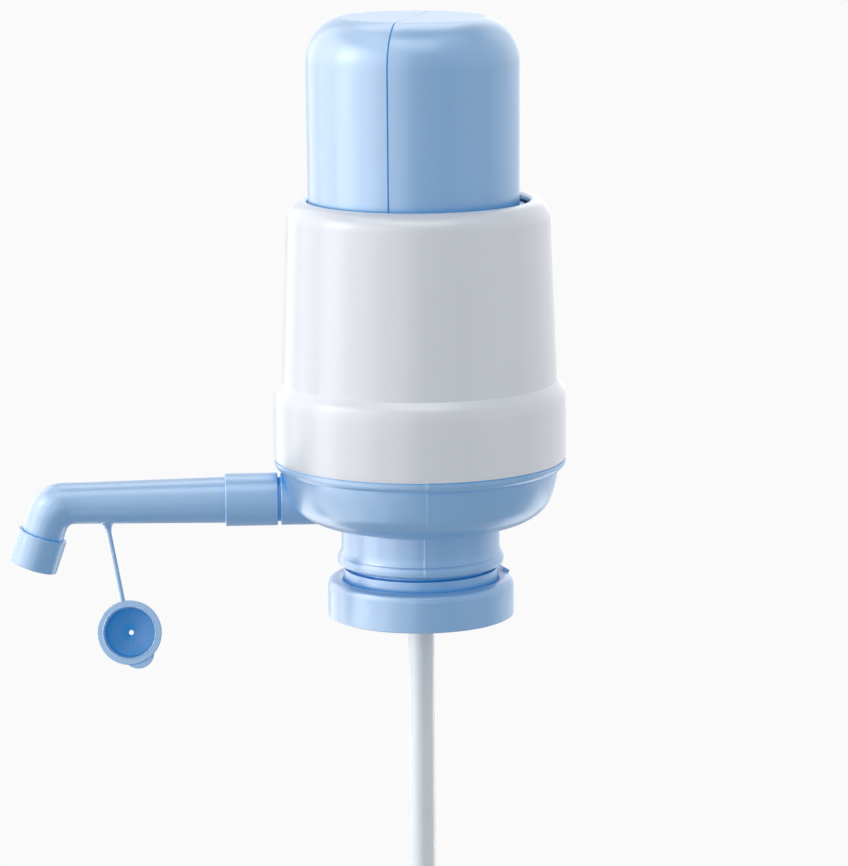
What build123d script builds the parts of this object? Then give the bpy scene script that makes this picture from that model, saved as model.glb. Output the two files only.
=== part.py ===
"""Hand pump for a large water jug, in millimetres.

The origin is the centre of the bottle-neck socket, in the plane of the lock ring's lower
rim. +Z points up along the pump's axis and the spout points to -X.
"""
import os
from math import cos, radians, sin

from build123d import *

# ---------------------------------------------------------------- driving sizes

# bottle crown and the collar that grips it
crown_radius = 27.5
finger_clearance = 0.15
finger_wall = 1.55
finger_pad = 0.45
finger_count = 8
finger_slot = 1.6
finger_tip_z = 0.6
pad_height = 2.6
bead_height = 1.4
bead_depth = 0.3
edge_break = 0.4
seal_bottom_z = 7.5
seal_thickness = 1.8
collar_shoulder_z = 10.85
collar_band_radius = 26.7
collar_waist_height = 1.3
spigot_clearance = 0.1
spigot_wall = 2.4
spigot_length = 6.5
snap_offset = 2.2
snap_depth = 0.8
snap_flat = 0.6
snap_slope = 1.0

# lock ring
ring_radius = 32.15
ring_wall_height = 10.9
ring_shoulder_height = 1.85
ring_shoulder_step = 1.45
ring_top_thickness = 1.8
ring_band_height = 3.4
ring_relief = 0.6
ring_lift = 4.0
ring_end_clearance = 0.75
ring_tab_width = 5.0
ring_tab_depth = 2.6
ring_tab_height = 1.3
ring_tab_angle = 15.0
slide_clearance = 0.3

# blue base: neck, bowl and flange
neck_radius = 27.1
neck_wall = 2.2
neck_rib = 1.1
neck_rib_low = 1.1
neck_rib_high = 2.7
neck_rib_top = 4.9
bowl_bottom_z = 33.0
bowl_radius = 47.3
bowl_corner = 16.3
bowl_wall = 2.2
bowl_side_height = 1.7
flange_step = 1.0
flange_overhang = 2.9
flange_height = 4.1
base_rim_setback = 2.3
base_rim_wall = 2.2
base_rim_height = 5.9
deck_ledge = 2.1
deck_ledge_drop = 0.4
deck_ledge_height = 1.3
deck_ledge_slope = 1.5

# water way and port
port_rise = 7.65
port_radius = 9.0
port_reach = 1.0
nipple_radius = 7.65
nipple_length = 15.2
water_bore_radius = 5.8
riser_radius = 6.5
riser_bottom_z = 14.0
riser_stop_z = 32.0

# spout
spout_gap = 1.0
spout_fit = 0.07
socket_radius = 9.1
socket_length = 18.1
spout_root_radius = 7.95
spout_neck_radius = 7.1
arm_length = 51.0
arm_droop = 0.3
spout_wall = 1.6
elbow_outer_radius = 13.2
elbow_inner_radius = 3.0
elbow_reach = 15.6
elbow_drop = 21.8
elbow_shares = (0.16, 0.5, 0.84)
spout_bore_radius = 5.6
spout_bend_radius = 6.1
nozzle_tilt = 19.0
nozzle_tube_radius = 7.3
nozzle_tube_length = 15.0
sleeve_radius = 8.6
sleeve_length = 11.75
sleeve_lip = 2.5
o_ring_section = 0.55
o_ring_fit = 0.02
o_ring_offset = 4.0

# dust cap on its tether
cap_hang_x = 6.85
cap_hang_y = -2.5
cap_hang_z = -45.75
cap_tip_up = 13.3
cap_turn = 2.5
cap_flange_radius = 11.15
cap_flange_thickness = 1.4
cap_depth = 10.2
cap_wall = 1.0
cap_wall_depth = 7.8
cap_fit = 0.15
cap_lead_in = 0.45
cap_floor_radius = 8.3
cap_vent_radius = 0.85
tether_setback = 10.45
tether_width = 1.5
tether_flare_width = 4.1
tether_flare_height = 3.3
tether_gap = 0.08
tether_clock = 101.6
tab_radius = 5.55
tab_reach = 7.5
tab_thickness = 1.6
tab_angle = -67.0

# white housing
housing_wall = 2.4
housing_foot_flare = 0.3
housing_foot_height = 4.0
housing_skirt_height = 19.7
housing_step_height = 7.1
housing_step_in = 3.1
housing_tower_height = 55.1
housing_taper = 2.3
housing_lip_height = 7.2
housing_lip_width = 7.1
housing_inner_corner = 3.5
housing_rib_count = 6
housing_rib_thickness = 2.0

# press cap
press_cap_height = 61.8
press_cap_clearance = 0.5
press_cap_play = 1.4
press_cap_corner = 15.0
press_cap_wall = 2.0
press_cap_flange_clearance = 0.8
press_cap_bevel = 1.9
press_cap_top_edge = 11.5
press_cap_rib_height = 2.2
press_cap_rib_thickness = 1.6
press_cap_rib_count = 6

# air side: deck, bellows and valves
deck_thickness = 2.5
deck_clearance = 0.2
gasket_thickness = 1.0
bellows_clearance = 0.4
bellows_fold_depth = 4.2
bellows_folds = 8
bellows_top_setback = 6.3
bellows_top_slope = 3.2
bellows_wall = 1.2
cuff_setback = 1.1
cuff_height = 6.8
clamp_wall = 2.1
clamp_height = 5.4
deck_hole_radius = 2.0
deck_hole_circle = 9.0
deck_hole_count = 6
valve_flap_radius = 13.0
valve_flap_thickness = 0.8
valve_lift = 1.2
valve_stem_radius = 1.5
valve_knob_radius = 2.4
outlet_knob_height = 2.0
inlet_knob_height = 0.3
seat_radius = 16.0
seat_lip = 2.5
seat_thickness = 1.8
seat_rise = 0.6

# dip tube, in three push-fit lengths
tube_radius = 4.5
tube_bore_radius = 3.3
tube_fit = 0.05
tube_reach = 440.0
tube_joint_depth = 14.0
tube_bell_wall = 1.3
foot_notch_depth = 6.0
foot_notch_width = 3.0

# ---------------------------------------------------------------- sizes that follow

finger_bore = crown_radius + finger_clearance
finger_radius = finger_bore + finger_wall
pad_radius = finger_radius + finger_pad
collar_flange_z = seal_bottom_z + seal_thickness
ring_top_z = ring_wall_height + ring_shoulder_height
neck_end_z = ring_top_z + ring_lift + ring_end_clearance
collar_band_top_z = neck_end_z - collar_waist_height
neck_bore = neck_radius - neck_wall
spigot_radius = neck_bore - spigot_clearance
spigot_bore = spigot_radius - spigot_wall
spigot_top_z = neck_end_z + spigot_length
snap_z = neck_end_z + snap_offset
bowl_flat_radius = bowl_radius - bowl_corner
bowl_mid_z = bowl_bottom_z + bowl_corner
flange_under_z = bowl_mid_z + bowl_side_height
flange_top_z = flange_under_z + flange_height
flange_top_radius = bowl_radius + flange_overhang
base_rim_radius = flange_top_radius - base_rim_setback
base_rim_bore = base_rim_radius - base_rim_wall
base_rim_top_z = flange_top_z + base_rim_height
port_z = bowl_bottom_z + port_rise
port_end_x = -bowl_radius - port_reach
nipple_end_x = port_end_x - nipple_length
socket_start_x = port_end_x - spout_gap
socket_end_x = socket_start_x - socket_length
socket_bore = nipple_radius + spout_fit
elbow_start_x = socket_end_x - arm_length
spout_axis_z = port_z - arm_droop
nozzle_end_x = elbow_start_x - elbow_reach
nozzle_end_z = spout_axis_z - elbow_drop
tether_root_x = elbow_start_x + tether_setback
riser_bore = tube_radius + tube_fit
deck_ledge_z = flange_top_z - deck_ledge_drop
deck_ledge_under_z = deck_ledge_z - deck_ledge_height
deck_bottom_z = deck_ledge_z + gasket_thickness
deck_top_z = deck_bottom_z + deck_thickness
deck_radius = base_rim_bore - deck_clearance
housing_foot_radius = flange_top_radius
housing_skirt_radius = housing_foot_radius + housing_foot_flare
housing_crease_radius = housing_skirt_radius - housing_step_in
housing_shoulder_radius = housing_crease_radius - housing_taper
housing_lip_radius = housing_shoulder_radius - housing_lip_width
housing_step_z = flange_top_z + housing_skirt_height
housing_crease_z = housing_step_z + housing_step_height
housing_shoulder_z = housing_crease_z + housing_tower_height
housing_lip_z = housing_shoulder_z + housing_lip_height
cap_top_z = housing_lip_z + press_cap_height
cap_underside_z = cap_top_z - press_cap_wall
press_cap_radius = housing_lip_radius - press_cap_clearance - press_cap_play
press_cap_top_radius = press_cap_radius - press_cap_top_edge
press_cap_flange_gap = press_cap_play + press_cap_flange_clearance
press_cap_flange_radius = housing_shoulder_radius - housing_wall - press_cap_flange_gap
bellows_radius = press_cap_radius - press_cap_wall - press_cap_play - bellows_clearance
bellows_top_radius = bellows_radius - bellows_top_setback
cuff_radius = bellows_radius - cuff_setback
bellows_top_z = cap_underside_z - press_cap_rib_height
seat_hole_radius = seat_radius - seat_lip
seat_top_z = bellows_top_z + seat_rise
seat_under_z = bellows_top_z - bellows_wall - seat_thickness
lip_underside_z = housing_lip_z - housing_wall


def tube_profile(*edges):
    """Closed face in the XZ half-plane, ready to be turned about the axis."""
    return Plane.XZ * make_face(Curve() + list(edges))


def turned(*edges):
    """Solid of revolution about Z from profile edges given as (radius, height)."""
    return revolve(tube_profile(*edges), Axis.Z)


def turned_polygon(*points):
    """Solid of revolution about Z from straight-sided profile corners."""
    return turned(Polyline(*points, close=True))


def rod_x(radius, x_from, x_to, z):
    """Round rod along X between two stations."""
    return Pos((x_from + x_to) / 2, 0, z) * Rot(0, 90, 0) * Cylinder(radius, abs(x_to - x_from))


def rod_z(radius, z_from, z_to, x=0.0, y=0.0):
    """Round rod along Z between two heights."""
    return Pos(x, y, (z_from + z_to) / 2) * Cylinder(radius, abs(z_to - z_from))


def around(count, shape):
    """The same shape repeated evenly about Z."""
    return [Rot(0, 0, 360 / count * i) * shape for i in range(count)]


# ---------------------------------------------------------------- bottle neck fitting


def neck_collar():
    """Snap-in collar: eight sprung fingers take the bottle crown, the spigot takes the base."""
    body = turned_polygon(
        (spigot_bore, collar_flange_z),
        (finger_bore, collar_flange_z),
        (finger_bore, finger_tip_z + bead_height),
        (finger_bore - bead_depth, finger_tip_z + bead_height / 2),
        (finger_bore, finger_tip_z),
        (pad_radius - edge_break, finger_tip_z),
        (pad_radius, finger_tip_z + edge_break),
        (pad_radius, finger_tip_z + pad_height),
        (finger_radius, finger_tip_z + pad_height + finger_pad),
        (finger_radius, collar_shoulder_z),
        (collar_band_radius, collar_shoulder_z),
        (collar_band_radius, collar_band_top_z),
        (spigot_radius, collar_band_top_z),
        (spigot_radius, snap_z - snap_depth),
        (spigot_radius + snap_depth, snap_z),
        (spigot_radius + snap_depth, snap_z + snap_flat),
        (spigot_radius, snap_z + snap_flat + snap_slope),
        (spigot_radius - edge_break, spigot_top_z),
        (spigot_bore, spigot_top_z),
    )
    slot = Pos(finger_bore, 0, seal_bottom_z) * Box(
        4 * finger_wall, finger_slot, seal_bottom_z, align=(Align.CENTER, Align.CENTER, Align.MAX)
    )
    return body - around(finger_count, Rot(0, 0, 180 / finger_count) * slot)


def bottle_seal():
    """Flat rubber ring that the bottle's rim bears on."""
    return turned_polygon(
        (spigot_bore, seal_bottom_z),
        (finger_bore - slide_clearance, seal_bottom_z),
        (finger_bore - slide_clearance, collar_flange_z),
        (spigot_bore, collar_flange_z),
    )


def lock_ring():
    """Sliding sleeve that holds the fingers on the crown, with a thumb tab on its top."""
    band_bore = pad_radius + slide_clearance
    relief_bore = band_bore + ring_relief
    collar_bore = collar_band_radius + slide_clearance
    shoulder_radius = ring_radius - ring_shoulder_step
    shoulder_mid = (
        ring_radius - 0.35 * ring_shoulder_step,
        ring_wall_height + 0.65 * ring_shoulder_height,
    )
    ceiling_z = ring_top_z - ring_top_thickness
    ring = turned(
        Polyline(
            (band_bore + edge_break, 0),
            (ring_radius - 2 * edge_break, 0),
            (ring_radius - edge_break / 2, edge_break),
            (ring_radius, ring_wall_height),
        ),
        ThreePointArc(
            (ring_radius, ring_wall_height), shoulder_mid, (shoulder_radius, ring_top_z)
        ),
        Polyline(
            (shoulder_radius, ring_top_z),
            (collar_bore, ring_top_z),
            (collar_bore, ceiling_z),
            (relief_bore, ceiling_z),
            (relief_bore, ring_band_height + ring_relief),
            (band_bore, ring_band_height),
            (band_bore, edge_break),
            (band_bore + edge_break, 0),
        ),
    )
    tab = Box(
        ring_tab_depth,
        ring_tab_width,
        ring_tab_height + edge_break,
        align=(Align.MAX, Align.CENTER, Align.MIN),
    )
    tab = fillet(tab.edges().filter_by(Axis.X).group_by(Axis.Z)[-1], 2 * edge_break)
    return ring + Rot(0, 0, ring_tab_angle) * Pos(shoulder_radius, 0, ring_top_z - edge_break) * tab


# ---------------------------------------------------------------- base with its water way


def base_body():
    """Bowl, neck and flange in one moulding, with the port and the riser socket."""
    rib_r = neck_radius + neck_rib
    outside = turned(
        Polyline(
            (0, neck_end_z),
            (neck_radius - edge_break, neck_end_z),
            (rib_r, neck_end_z + neck_rib_low),
            (rib_r, neck_end_z + neck_rib_high),
            (neck_radius, neck_end_z + neck_rib_top),
            (neck_radius, bowl_bottom_z),
            (bowl_flat_radius, bowl_bottom_z),
        ),
        CenterArc((bowl_flat_radius, bowl_mid_z), bowl_corner, -90, 90),
        Polyline(
            (bowl_radius, bowl_mid_z),
            (bowl_radius, flange_under_z),
            (bowl_radius + flange_step, flange_under_z),
        ),
        RadiusArc(
            (bowl_radius + flange_step, flange_under_z), (flange_top_radius, flange_top_z), -6.5
        ),
        Polyline(
            (flange_top_radius, flange_top_z),
            (base_rim_radius, flange_top_z),
            (base_rim_radius, base_rim_top_z),
            (0, base_rim_top_z),
            (0, neck_end_z),
        ),
    )
    ledge_bore = base_rim_bore - deck_ledge
    inner_bowl = bowl_radius - bowl_wall
    inside = turned(
        Polyline(
            (0, base_rim_top_z + 1),
            (base_rim_bore, base_rim_top_z + 1),
            (base_rim_bore, deck_ledge_z),
            (ledge_bore, deck_ledge_z),
            (ledge_bore, deck_ledge_under_z),
            (inner_bowl, deck_ledge_under_z - deck_ledge_slope),
            (inner_bowl, bowl_mid_z),
        ),
        CenterArc((bowl_flat_radius, bowl_mid_z), bowl_corner - bowl_wall, -90, 90),
        Polyline(
            (bowl_flat_radius, bowl_bottom_z + bowl_wall),
            (neck_bore, bowl_bottom_z + bowl_wall),
            (neck_bore, snap_z + snap_flat + snap_slope + 0.1),
            (neck_bore + snap_depth, snap_z + snap_flat + 0.1),
            (neck_bore + snap_depth, snap_z - 0.1),
            (neck_bore, snap_z - snap_depth - 0.1),
            (neck_bore, neck_end_z - 1),
            (0, neck_end_z - 1),
            (0, base_rim_top_z + 1),
        ),
    )
    port = rod_x(port_radius, -bowl_flat_radius, port_end_x, port_z)
    port = chamfer(port.edges().sort_by(Axis.X)[0], 0.7)
    pipe = rod_x(nipple_radius, nipple_radius, nipple_end_x, port_z)
    pipe = chamfer(pipe.edges().sort_by(Axis.X)[0], 0.5)
    riser = rod_z(riser_radius, riser_bottom_z, port_z)
    body = outside + port - inside + pipe + riser
    body -= rod_x(water_bore_radius, nipple_radius - spout_wall, nipple_end_x - 1, port_z)
    body -= rod_z(riser_bore, riser_bottom_z - 1, riser_stop_z)
    body -= rod_z(tube_bore_radius, riser_stop_z - 1, port_z)
    half_width = o_ring_section + o_ring_fit
    floor_radius = socket_bore - 2 * o_ring_section - 2 * o_ring_fit
    groove = rod_x(nipple_radius + 1, o_ring_x() - half_width, o_ring_x() + half_width, port_z)
    groove -= rod_x(floor_radius, o_ring_x() - 2, o_ring_x() + 2, port_z)
    return body - groove


def o_ring_x():
    """Station of the spout seal on the nipple."""
    return nipple_end_x + o_ring_offset


def spout_o_ring():
    """Rubber O-ring in the nipple's groove."""
    centre_radius = socket_bore - o_ring_fit - o_ring_section
    return Pos(o_ring_x(), 0, port_z) * Rot(0, 90, 0) * Torus(centre_radius, o_ring_section)


# ---------------------------------------------------------------- dip tube


def tube_ends():
    """Heights where the three lengths of dip tube begin and end, from the top down."""
    length = (riser_stop_z + tube_reach) / 3
    return [riser_stop_z - length * i for i in range(4)]


def tube_length(top_z, bottom_z, belled):
    """One length of dip tube, with a socket for the length above where it is belled."""
    tube = rod_z(tube_radius, bottom_z, top_z)
    if belled:
        bell = tube_radius + tube_fit + tube_bell_wall
        tube += turned_polygon(
            (0, top_z - 3),
            (tube_radius, top_z - 3),
            (bell, top_z),
            (bell, top_z + tube_joint_depth),
            (0, top_z + tube_joint_depth),
        )
        tube -= rod_z(tube_radius + tube_fit, top_z, top_z + tube_joint_depth + 1)
    return tube - rod_z(tube_bore_radius, bottom_z - 1, top_z + 1)


def dip_tube_upper():
    """Upper length, pushed into the riser."""
    ends = tube_ends()
    return tube_length(ends[0], ends[1], belled=False)


def dip_tube_middle():
    """Middle length."""
    ends = tube_ends()
    return tube_length(ends[1], ends[2], belled=True)


def dip_tube_lower():
    """Lower length, its foot notched so that it can stand on the bottle's floor."""
    ends = tube_ends()
    notch = Box(2 * tube_radius + 2, foot_notch_width, 2 * foot_notch_depth)
    notch = Pos(0, 0, ends[3]) * notch
    return tube_length(ends[2], ends[3], belled=True) - notch - Rot(0, 0, 90) * notch


# ---------------------------------------------------------------- spout


def nozzle_frame():
    """Plane at the outlet's centre, with its normal up the nozzle."""
    up = (sin(radians(nozzle_tilt)), 0, cos(radians(nozzle_tilt)))
    return Plane(origin=(nozzle_end_x, 0, nozzle_end_z), x_dir=(up[2], 0, -up[0]), z_dir=up)


def arm_plane(x):
    """Plane square to the spout's arm at a station, with its normal towards the nozzle."""
    share = (socket_end_x - x) / (socket_end_x - elbow_start_x)
    fall = Vector(elbow_start_x - socket_end_x, 0, spout_axis_z - port_z)
    origin = (x, 0, port_z + (spout_axis_z - port_z) * share)
    return Plane(origin=origin, x_dir=(0, 1, 0), z_dir=fall.normalized())


def elbow_sections():
    """Circles through the elbow, between its outer and inner arcs."""
    frame = nozzle_frame()
    up = frame.z_dir
    across = frame.x_dir
    left = frame.origin - across * nozzle_tube_radius
    right = frame.origin + across * nozzle_tube_radius

    def arc_centre(line_point, line_z, radius):
        base = line_point + across * radius
        return base + up * ((line_z - radius - base.Z) / up.Z)

    outer_centre = arc_centre(left, spout_axis_z + spout_neck_radius, elbow_outer_radius)
    inner_centre = arc_centre(right, spout_axis_z - spout_neck_radius, elbow_inner_radius)
    circles = []
    for share in elbow_shares:
        angle = radians((90 - nozzle_tilt) * share)
        away = Vector(-sin(angle), 0, cos(angle))
        outer = outer_centre + away * elbow_outer_radius
        inner = inner_centre + away * elbow_inner_radius
        span = outer - inner
        middle = (outer + inner) * 0.5
        plane = Plane(origin=middle, x_dir=(0, 1, 0), z_dir=span.cross(Vector(0, 1, 0)))
        circles.append(plane * Circle(span.length / 2))
    return circles


def spout_bore():
    """Water way through the arm and round the elbow to the outlet."""
    frame = nozzle_frame()
    up = frame.z_dir
    start = Vector(nipple_end_x, 0, port_z)
    corner = frame.origin + up * ((spout_axis_z - frame.origin.Z) / up.Z)
    end = frame.origin - up
    path = FilletPolyline(start, corner, end, radius=spout_bend_radius)
    section = Plane(origin=start, x_dir=(0, 1, 0), z_dir=path % 0) * Circle(spout_bore_radius)
    return sweep(section, path)


def spout_tube():
    """Swivelling spout: a socket over the nipple, a tapering arm and a turned-down outlet."""
    low = (Align.CENTER, Align.CENTER, Align.MIN)
    frame = nozzle_frame()
    socket = rod_x(socket_radius, socket_start_x, socket_end_x, port_z)
    socket = chamfer(socket.edges().filter_by(GeomType.CIRCLE), edge_break)
    root = arm_plane(socket_end_x)
    start = arm_plane(elbow_start_x)
    length = (start.origin - root.origin).length
    arm = root * Cone(spout_root_radius, spout_neck_radius, length, align=low)
    neck = frame.offset(nozzle_tube_length)
    neck = Plane(origin=neck.origin, x_dir=(0, 1, 0), z_dir=-neck.z_dir)
    bend = loft(
        [start * Circle(spout_neck_radius), *elbow_sections(), neck * Circle(nozzle_tube_radius)]
    )
    tip = frame.offset(sleeve_lip) * Cylinder(
        nozzle_tube_radius, nozzle_tube_length - sleeve_lip, align=low
    )
    tether_root = tether_line().offset(-spout_wall / 2) * Cone(
        tether_flare_width / 2, tether_width / 2, tether_flare_height + spout_wall / 2, align=low
    )
    body = socket + arm + bend + tip + tether_root - spout_bore()
    return body - rod_x(socket_bore, socket_start_x + 1, nipple_end_x - slide_clearance, port_z)


def nozzle_sleeve():
    """Collar pressed over the spout's tip, with a drip lip below it."""
    frame = nozzle_frame()
    bottom = (Align.CENTER, Align.CENTER, Align.MIN)
    sleeve = Cylinder(sleeve_radius, sleeve_length, align=bottom)
    sleeve = chamfer(sleeve.edges().filter_by(GeomType.CIRCLE), edge_break)
    sleeve -= Pos(0, 0, sleeve_lip) * Cylinder(nozzle_tube_radius, sleeve_length, align=bottom)
    sleeve -= Cylinder(spout_bore_radius, sleeve_length, align=bottom)
    return frame * sleeve


def dust_cap():
    """Push-on cap for the outlet: flanged cup, pull tab and tether in one moulding."""
    bore = sleeve_radius + cap_fit
    cup = turned_polygon(
        (cap_vent_radius, -cap_depth - cap_wall),
        (cap_floor_radius + cap_wall, -cap_wall_depth - cap_wall),
        (bore + cap_wall, -cap_flange_thickness - edge_break),
        (cap_flange_radius - edge_break, -cap_flange_thickness),
        (cap_flange_radius, -cap_flange_thickness + edge_break),
        (cap_flange_radius, 0),
        (bore + cap_lead_in, 0),
        (bore, -cap_lead_in),
        (cap_floor_radius, -cap_wall_depth),
        (cap_vent_radius, -cap_depth),
    )
    mouth = dust_cap_mouth()
    low = (Align.CENTER, Align.CENTER, Align.MIN)
    knuckle = tether_knuckle()
    reach = (tether_rim() - knuckle.origin).length
    tether = knuckle * Box(tether_width, tether_width, reach, align=low)
    tether += knuckle * Rot(0, 90, 0) * Cylinder(tether_width / 2, tether_width)
    tab = Rot(0, 0, tab_angle) * Pos(tab_reach, 0, edge_break - cap_flange_thickness) * Cylinder(
        tab_radius, tab_thickness, align=(Align.CENTER, Align.CENTER, Align.MAX)
    )
    tab -= Pos(0, 0, -cap_depth / 2) * Cylinder(bore + edge_break, cap_depth)
    return mouth * (cup + tab) + tether


def dust_cap_mouth():
    """Plane of the dust cap's mouth, its normal out of the opening."""
    tip = radians(cap_tip_up)
    turn = radians(cap_turn)
    out = (-sin(turn) * cos(tip), -cos(turn) * cos(tip), sin(tip))
    centre = (tether_root_x + cap_hang_x, cap_hang_y, spout_axis_z + cap_hang_z)
    return Plane(origin=centre, x_dir=(cos(turn), -sin(turn), 0), z_dir=out)


def tether_knuckle():
    """Plane at the pivot of the tether, just below its root on the spout."""
    return tether_line().offset(tether_flare_height + tether_gap + tether_width / 2)


def tether_line():
    """Plane at the tether's root under the spout arm, its normal down along the tether."""
    share = (socket_end_x - tether_root_x) / (socket_end_x - elbow_start_x)
    arm_radius = spout_root_radius + (spout_neck_radius - spout_root_radius) * share
    root = arm_plane(tether_root_x).origin - Vector(0, 0, arm_radius)
    along = tether_rim() - root
    return Plane(origin=root, x_dir=(0, 1, 0), z_dir=along.normalized())


def tether_rim():
    """Point inside the dust cap's flange where the tether ends."""
    clock = radians(tether_clock)
    reach = cap_flange_radius - tether_width / 2
    local = (reach * cos(clock), reach * sin(clock), -cap_flange_thickness / 2)
    return dust_cap_mouth().from_local_coords(Vector(*local))


# ---------------------------------------------------------------- housing and press cap


def housing_shell():
    """White outer shell; its lip keeps the press cap in, its ribs hold the deck down."""
    w = housing_wall
    lip_r = housing_lip_radius
    outer = [
        (housing_foot_radius, flange_top_z),
        (housing_skirt_radius, flange_top_z + housing_foot_height),
        (housing_skirt_radius, housing_step_z),
        (housing_crease_radius + 1.0, housing_crease_z - 1.0),
        (housing_crease_radius, housing_crease_z),
        (housing_shoulder_radius, housing_shoulder_z),
    ]
    shoulder = RadiusArc(outer[-1], (lip_r, housing_lip_z), -housing_lip_height)
    inner_r = base_rim_radius + 0.1
    arc_r = housing_shoulder_radius - w - housing_inner_corner
    arc_z = lip_underside_z - housing_inner_corner
    shell = turned(
        Polyline(*outer[:3]),
        RadiusArc(outer[2], outer[3], -7.5),
        Polyline(*outer[3:]),
        shoulder,
        Polyline((lip_r, housing_lip_z), (lip_r, lip_underside_z), (arc_r, lip_underside_z)),
        RadiusArc(
            (arc_r, lip_underside_z), (housing_shoulder_radius - w, arc_z), housing_inner_corner
        ),
        Polyline(
            (housing_shoulder_radius - w, arc_z),
            (housing_crease_radius - w, housing_crease_z),
            (inner_r, housing_step_z),
            (inner_r, flange_top_z),
            (housing_foot_radius, flange_top_z),
        ),
    )
    rib_in = base_rim_bore - deck_ledge
    rib_top = housing_step_z + 2
    upper = Box(
        inner_r + 0.5 - rib_in,
        housing_rib_thickness,
        rib_top - base_rim_top_z - 0.4,
        align=(Align.MIN, Align.CENTER, Align.MIN),
    )
    lower = Box(
        base_rim_bore - 0.3 - rib_in,
        housing_rib_thickness,
        base_rim_top_z + 1 - deck_top_z,
        align=(Align.MIN, Align.CENTER, Align.MIN),
    )
    rib = Pos(rib_in, 0, base_rim_top_z + 0.4) * upper + Pos(rib_in, 0, deck_top_z) * lower
    limit = turned_polygon(
        (0, flange_top_z),
        (inner_r + 0.6, flange_top_z),
        (inner_r + 0.6, housing_step_z),
        (housing_crease_radius - w + 0.6, housing_crease_z),
        (0, housing_crease_z),
    )
    ribs = [r & limit for r in around(housing_rib_count, rib)]
    return shell + ribs


def press_cap():
    """Blue push button over the bellows; its bottom flange catches under the housing's lip."""
    r = press_cap_radius
    w = press_cap_wall
    c = press_cap_corner
    flange_top_z = lip_underside_z - slide_clearance
    foot_z = flange_top_z - press_cap_bevel - edge_break
    shell = turned(
        Line((0, cap_top_z), (press_cap_top_radius, cap_top_z)),
        ThreePointArc(
            (press_cap_top_radius, cap_top_z),
            (r - c * (1 - sin(radians(45))), cap_top_z - c * (1 - cos(radians(45)))),
            (r, cap_top_z - c),
        ),
        Polyline(
            (r, cap_top_z - c),
            (r, flange_top_z),
            (press_cap_flange_radius - press_cap_bevel, flange_top_z),
            (press_cap_flange_radius, flange_top_z - press_cap_bevel),
            (press_cap_flange_radius, foot_z),
            (r - w, foot_z),
            (r - w, cap_top_z - c),
        ),
        ThreePointArc(
            (r - w, cap_top_z - c),
            (
                r - c + (c - w) * sin(radians(45)),
                cap_top_z - c + (c - w) * cos(radians(45)),
            ),
            (r - c, cap_underside_z),
        ),
        Polyline((r - c, cap_underside_z), (0, cap_underside_z), (0, cap_top_z)),
    )
    rib_start = seat_hole_radius + press_cap_play + slide_clearance
    rib = Pos(rib_start, 0, cap_underside_z - press_cap_rib_height) * Box(
        bellows_top_radius - 2 * press_cap_play - rib_start,
        press_cap_rib_thickness,
        press_cap_rib_height + edge_break,
        align=(Align.MIN, Align.CENTER, Align.MIN),
    )
    return Pos(-press_cap_play, 0, 0) * (shell + around(press_cap_rib_count, rib))


# ---------------------------------------------------------------- air side


def deck_gasket():
    """Flat rubber ring under the deck."""
    ledge_bore = base_rim_bore - deck_ledge
    return turned_polygon(
        (ledge_bore, deck_ledge_z),
        (deck_radius, deck_ledge_z),
        (deck_radius, deck_bottom_z),
        (ledge_bore, deck_bottom_z),
    )


def pump_deck():
    """Plate across the bowl that carries the bellows and the outlet valve."""
    upstand = cuff_radius - bellows_wall - 0.1
    plate = turned_polygon(
        (0, deck_bottom_z),
        (deck_radius, deck_bottom_z),
        (deck_radius, deck_top_z),
        (upstand, deck_top_z),
        (upstand, deck_top_z + cuff_height),
        (upstand - 2.0, deck_top_z + cuff_height),
        (upstand - 2.0, deck_top_z),
        (0, deck_top_z),
    )
    hole = rod_z(deck_hole_radius, deck_bottom_z - 1, deck_top_z + 1, x=deck_hole_circle)
    plate -= around(deck_hole_count, hole)
    return plate - rod_z(valve_stem_radius + 0.1, deck_bottom_z - 1, deck_top_z + 1)


def valve_flap(seat_z, knob_z, knob_height):
    """Rubber disc under its seat, with a stem through the seat and a knob over it."""
    return turned_polygon(
        (0, seat_z - valve_flap_thickness),
        (valve_flap_radius - edge_break, seat_z - valve_flap_thickness),
        (valve_flap_radius, seat_z),
        (valve_stem_radius, seat_z),
        (valve_stem_radius, knob_z),
        (valve_knob_radius, knob_z),
        (valve_stem_radius, knob_z + knob_height),
        (0, knob_z + knob_height),
    )


def outlet_valve_flap():
    """Rubber flap under the deck, held by its own stem and knob."""
    return valve_flap(deck_bottom_z, deck_top_z + valve_lift + 0.1, outlet_knob_height)


def bellows():
    """Blow-moulded bellows: cuff, folds and a flat top with a hole for the inlet seat."""
    bottom_z = deck_top_z
    fold_start_z = bottom_z + cuff_height + 1.5
    fold_end_z = bellows_top_z - bellows_top_slope
    pitch = (fold_end_z - fold_start_z) / bellows_folds
    inner_fold = bellows_radius - bellows_fold_depth

    def wall_line(offset):
        points = [(cuff_radius - offset, bottom_z), (cuff_radius - offset, fold_start_z - 1.5)]
        for i in range(bellows_folds):
            z = fold_start_z + pitch * i
            points.append((inner_fold - offset, z))
            points.append((bellows_radius - offset, z + pitch / 2))
        points.append((inner_fold - offset, fold_end_z))
        return points

    outer = wall_line(0)
    inner = wall_line(bellows_wall)
    under = bellows_top_z - bellows_wall
    top = [(bellows_top_radius, bellows_top_z), (seat_hole_radius, bellows_top_z)]
    below = [(seat_hole_radius, under), (bellows_top_radius - bellows_wall, under)]
    return turned_polygon(*outer, *top, *below, *reversed(inner))


def bellows_clamp_ring():
    """Ring pressed over the bellows' cuff on the deck."""
    return turned_polygon(
        (cuff_radius, deck_top_z + 0.2),
        (cuff_radius + clamp_wall, deck_top_z + 0.2),
        (cuff_radius + clamp_wall, deck_top_z + clamp_height),
        (cuff_radius, deck_top_z + clamp_height),
    )


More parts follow.
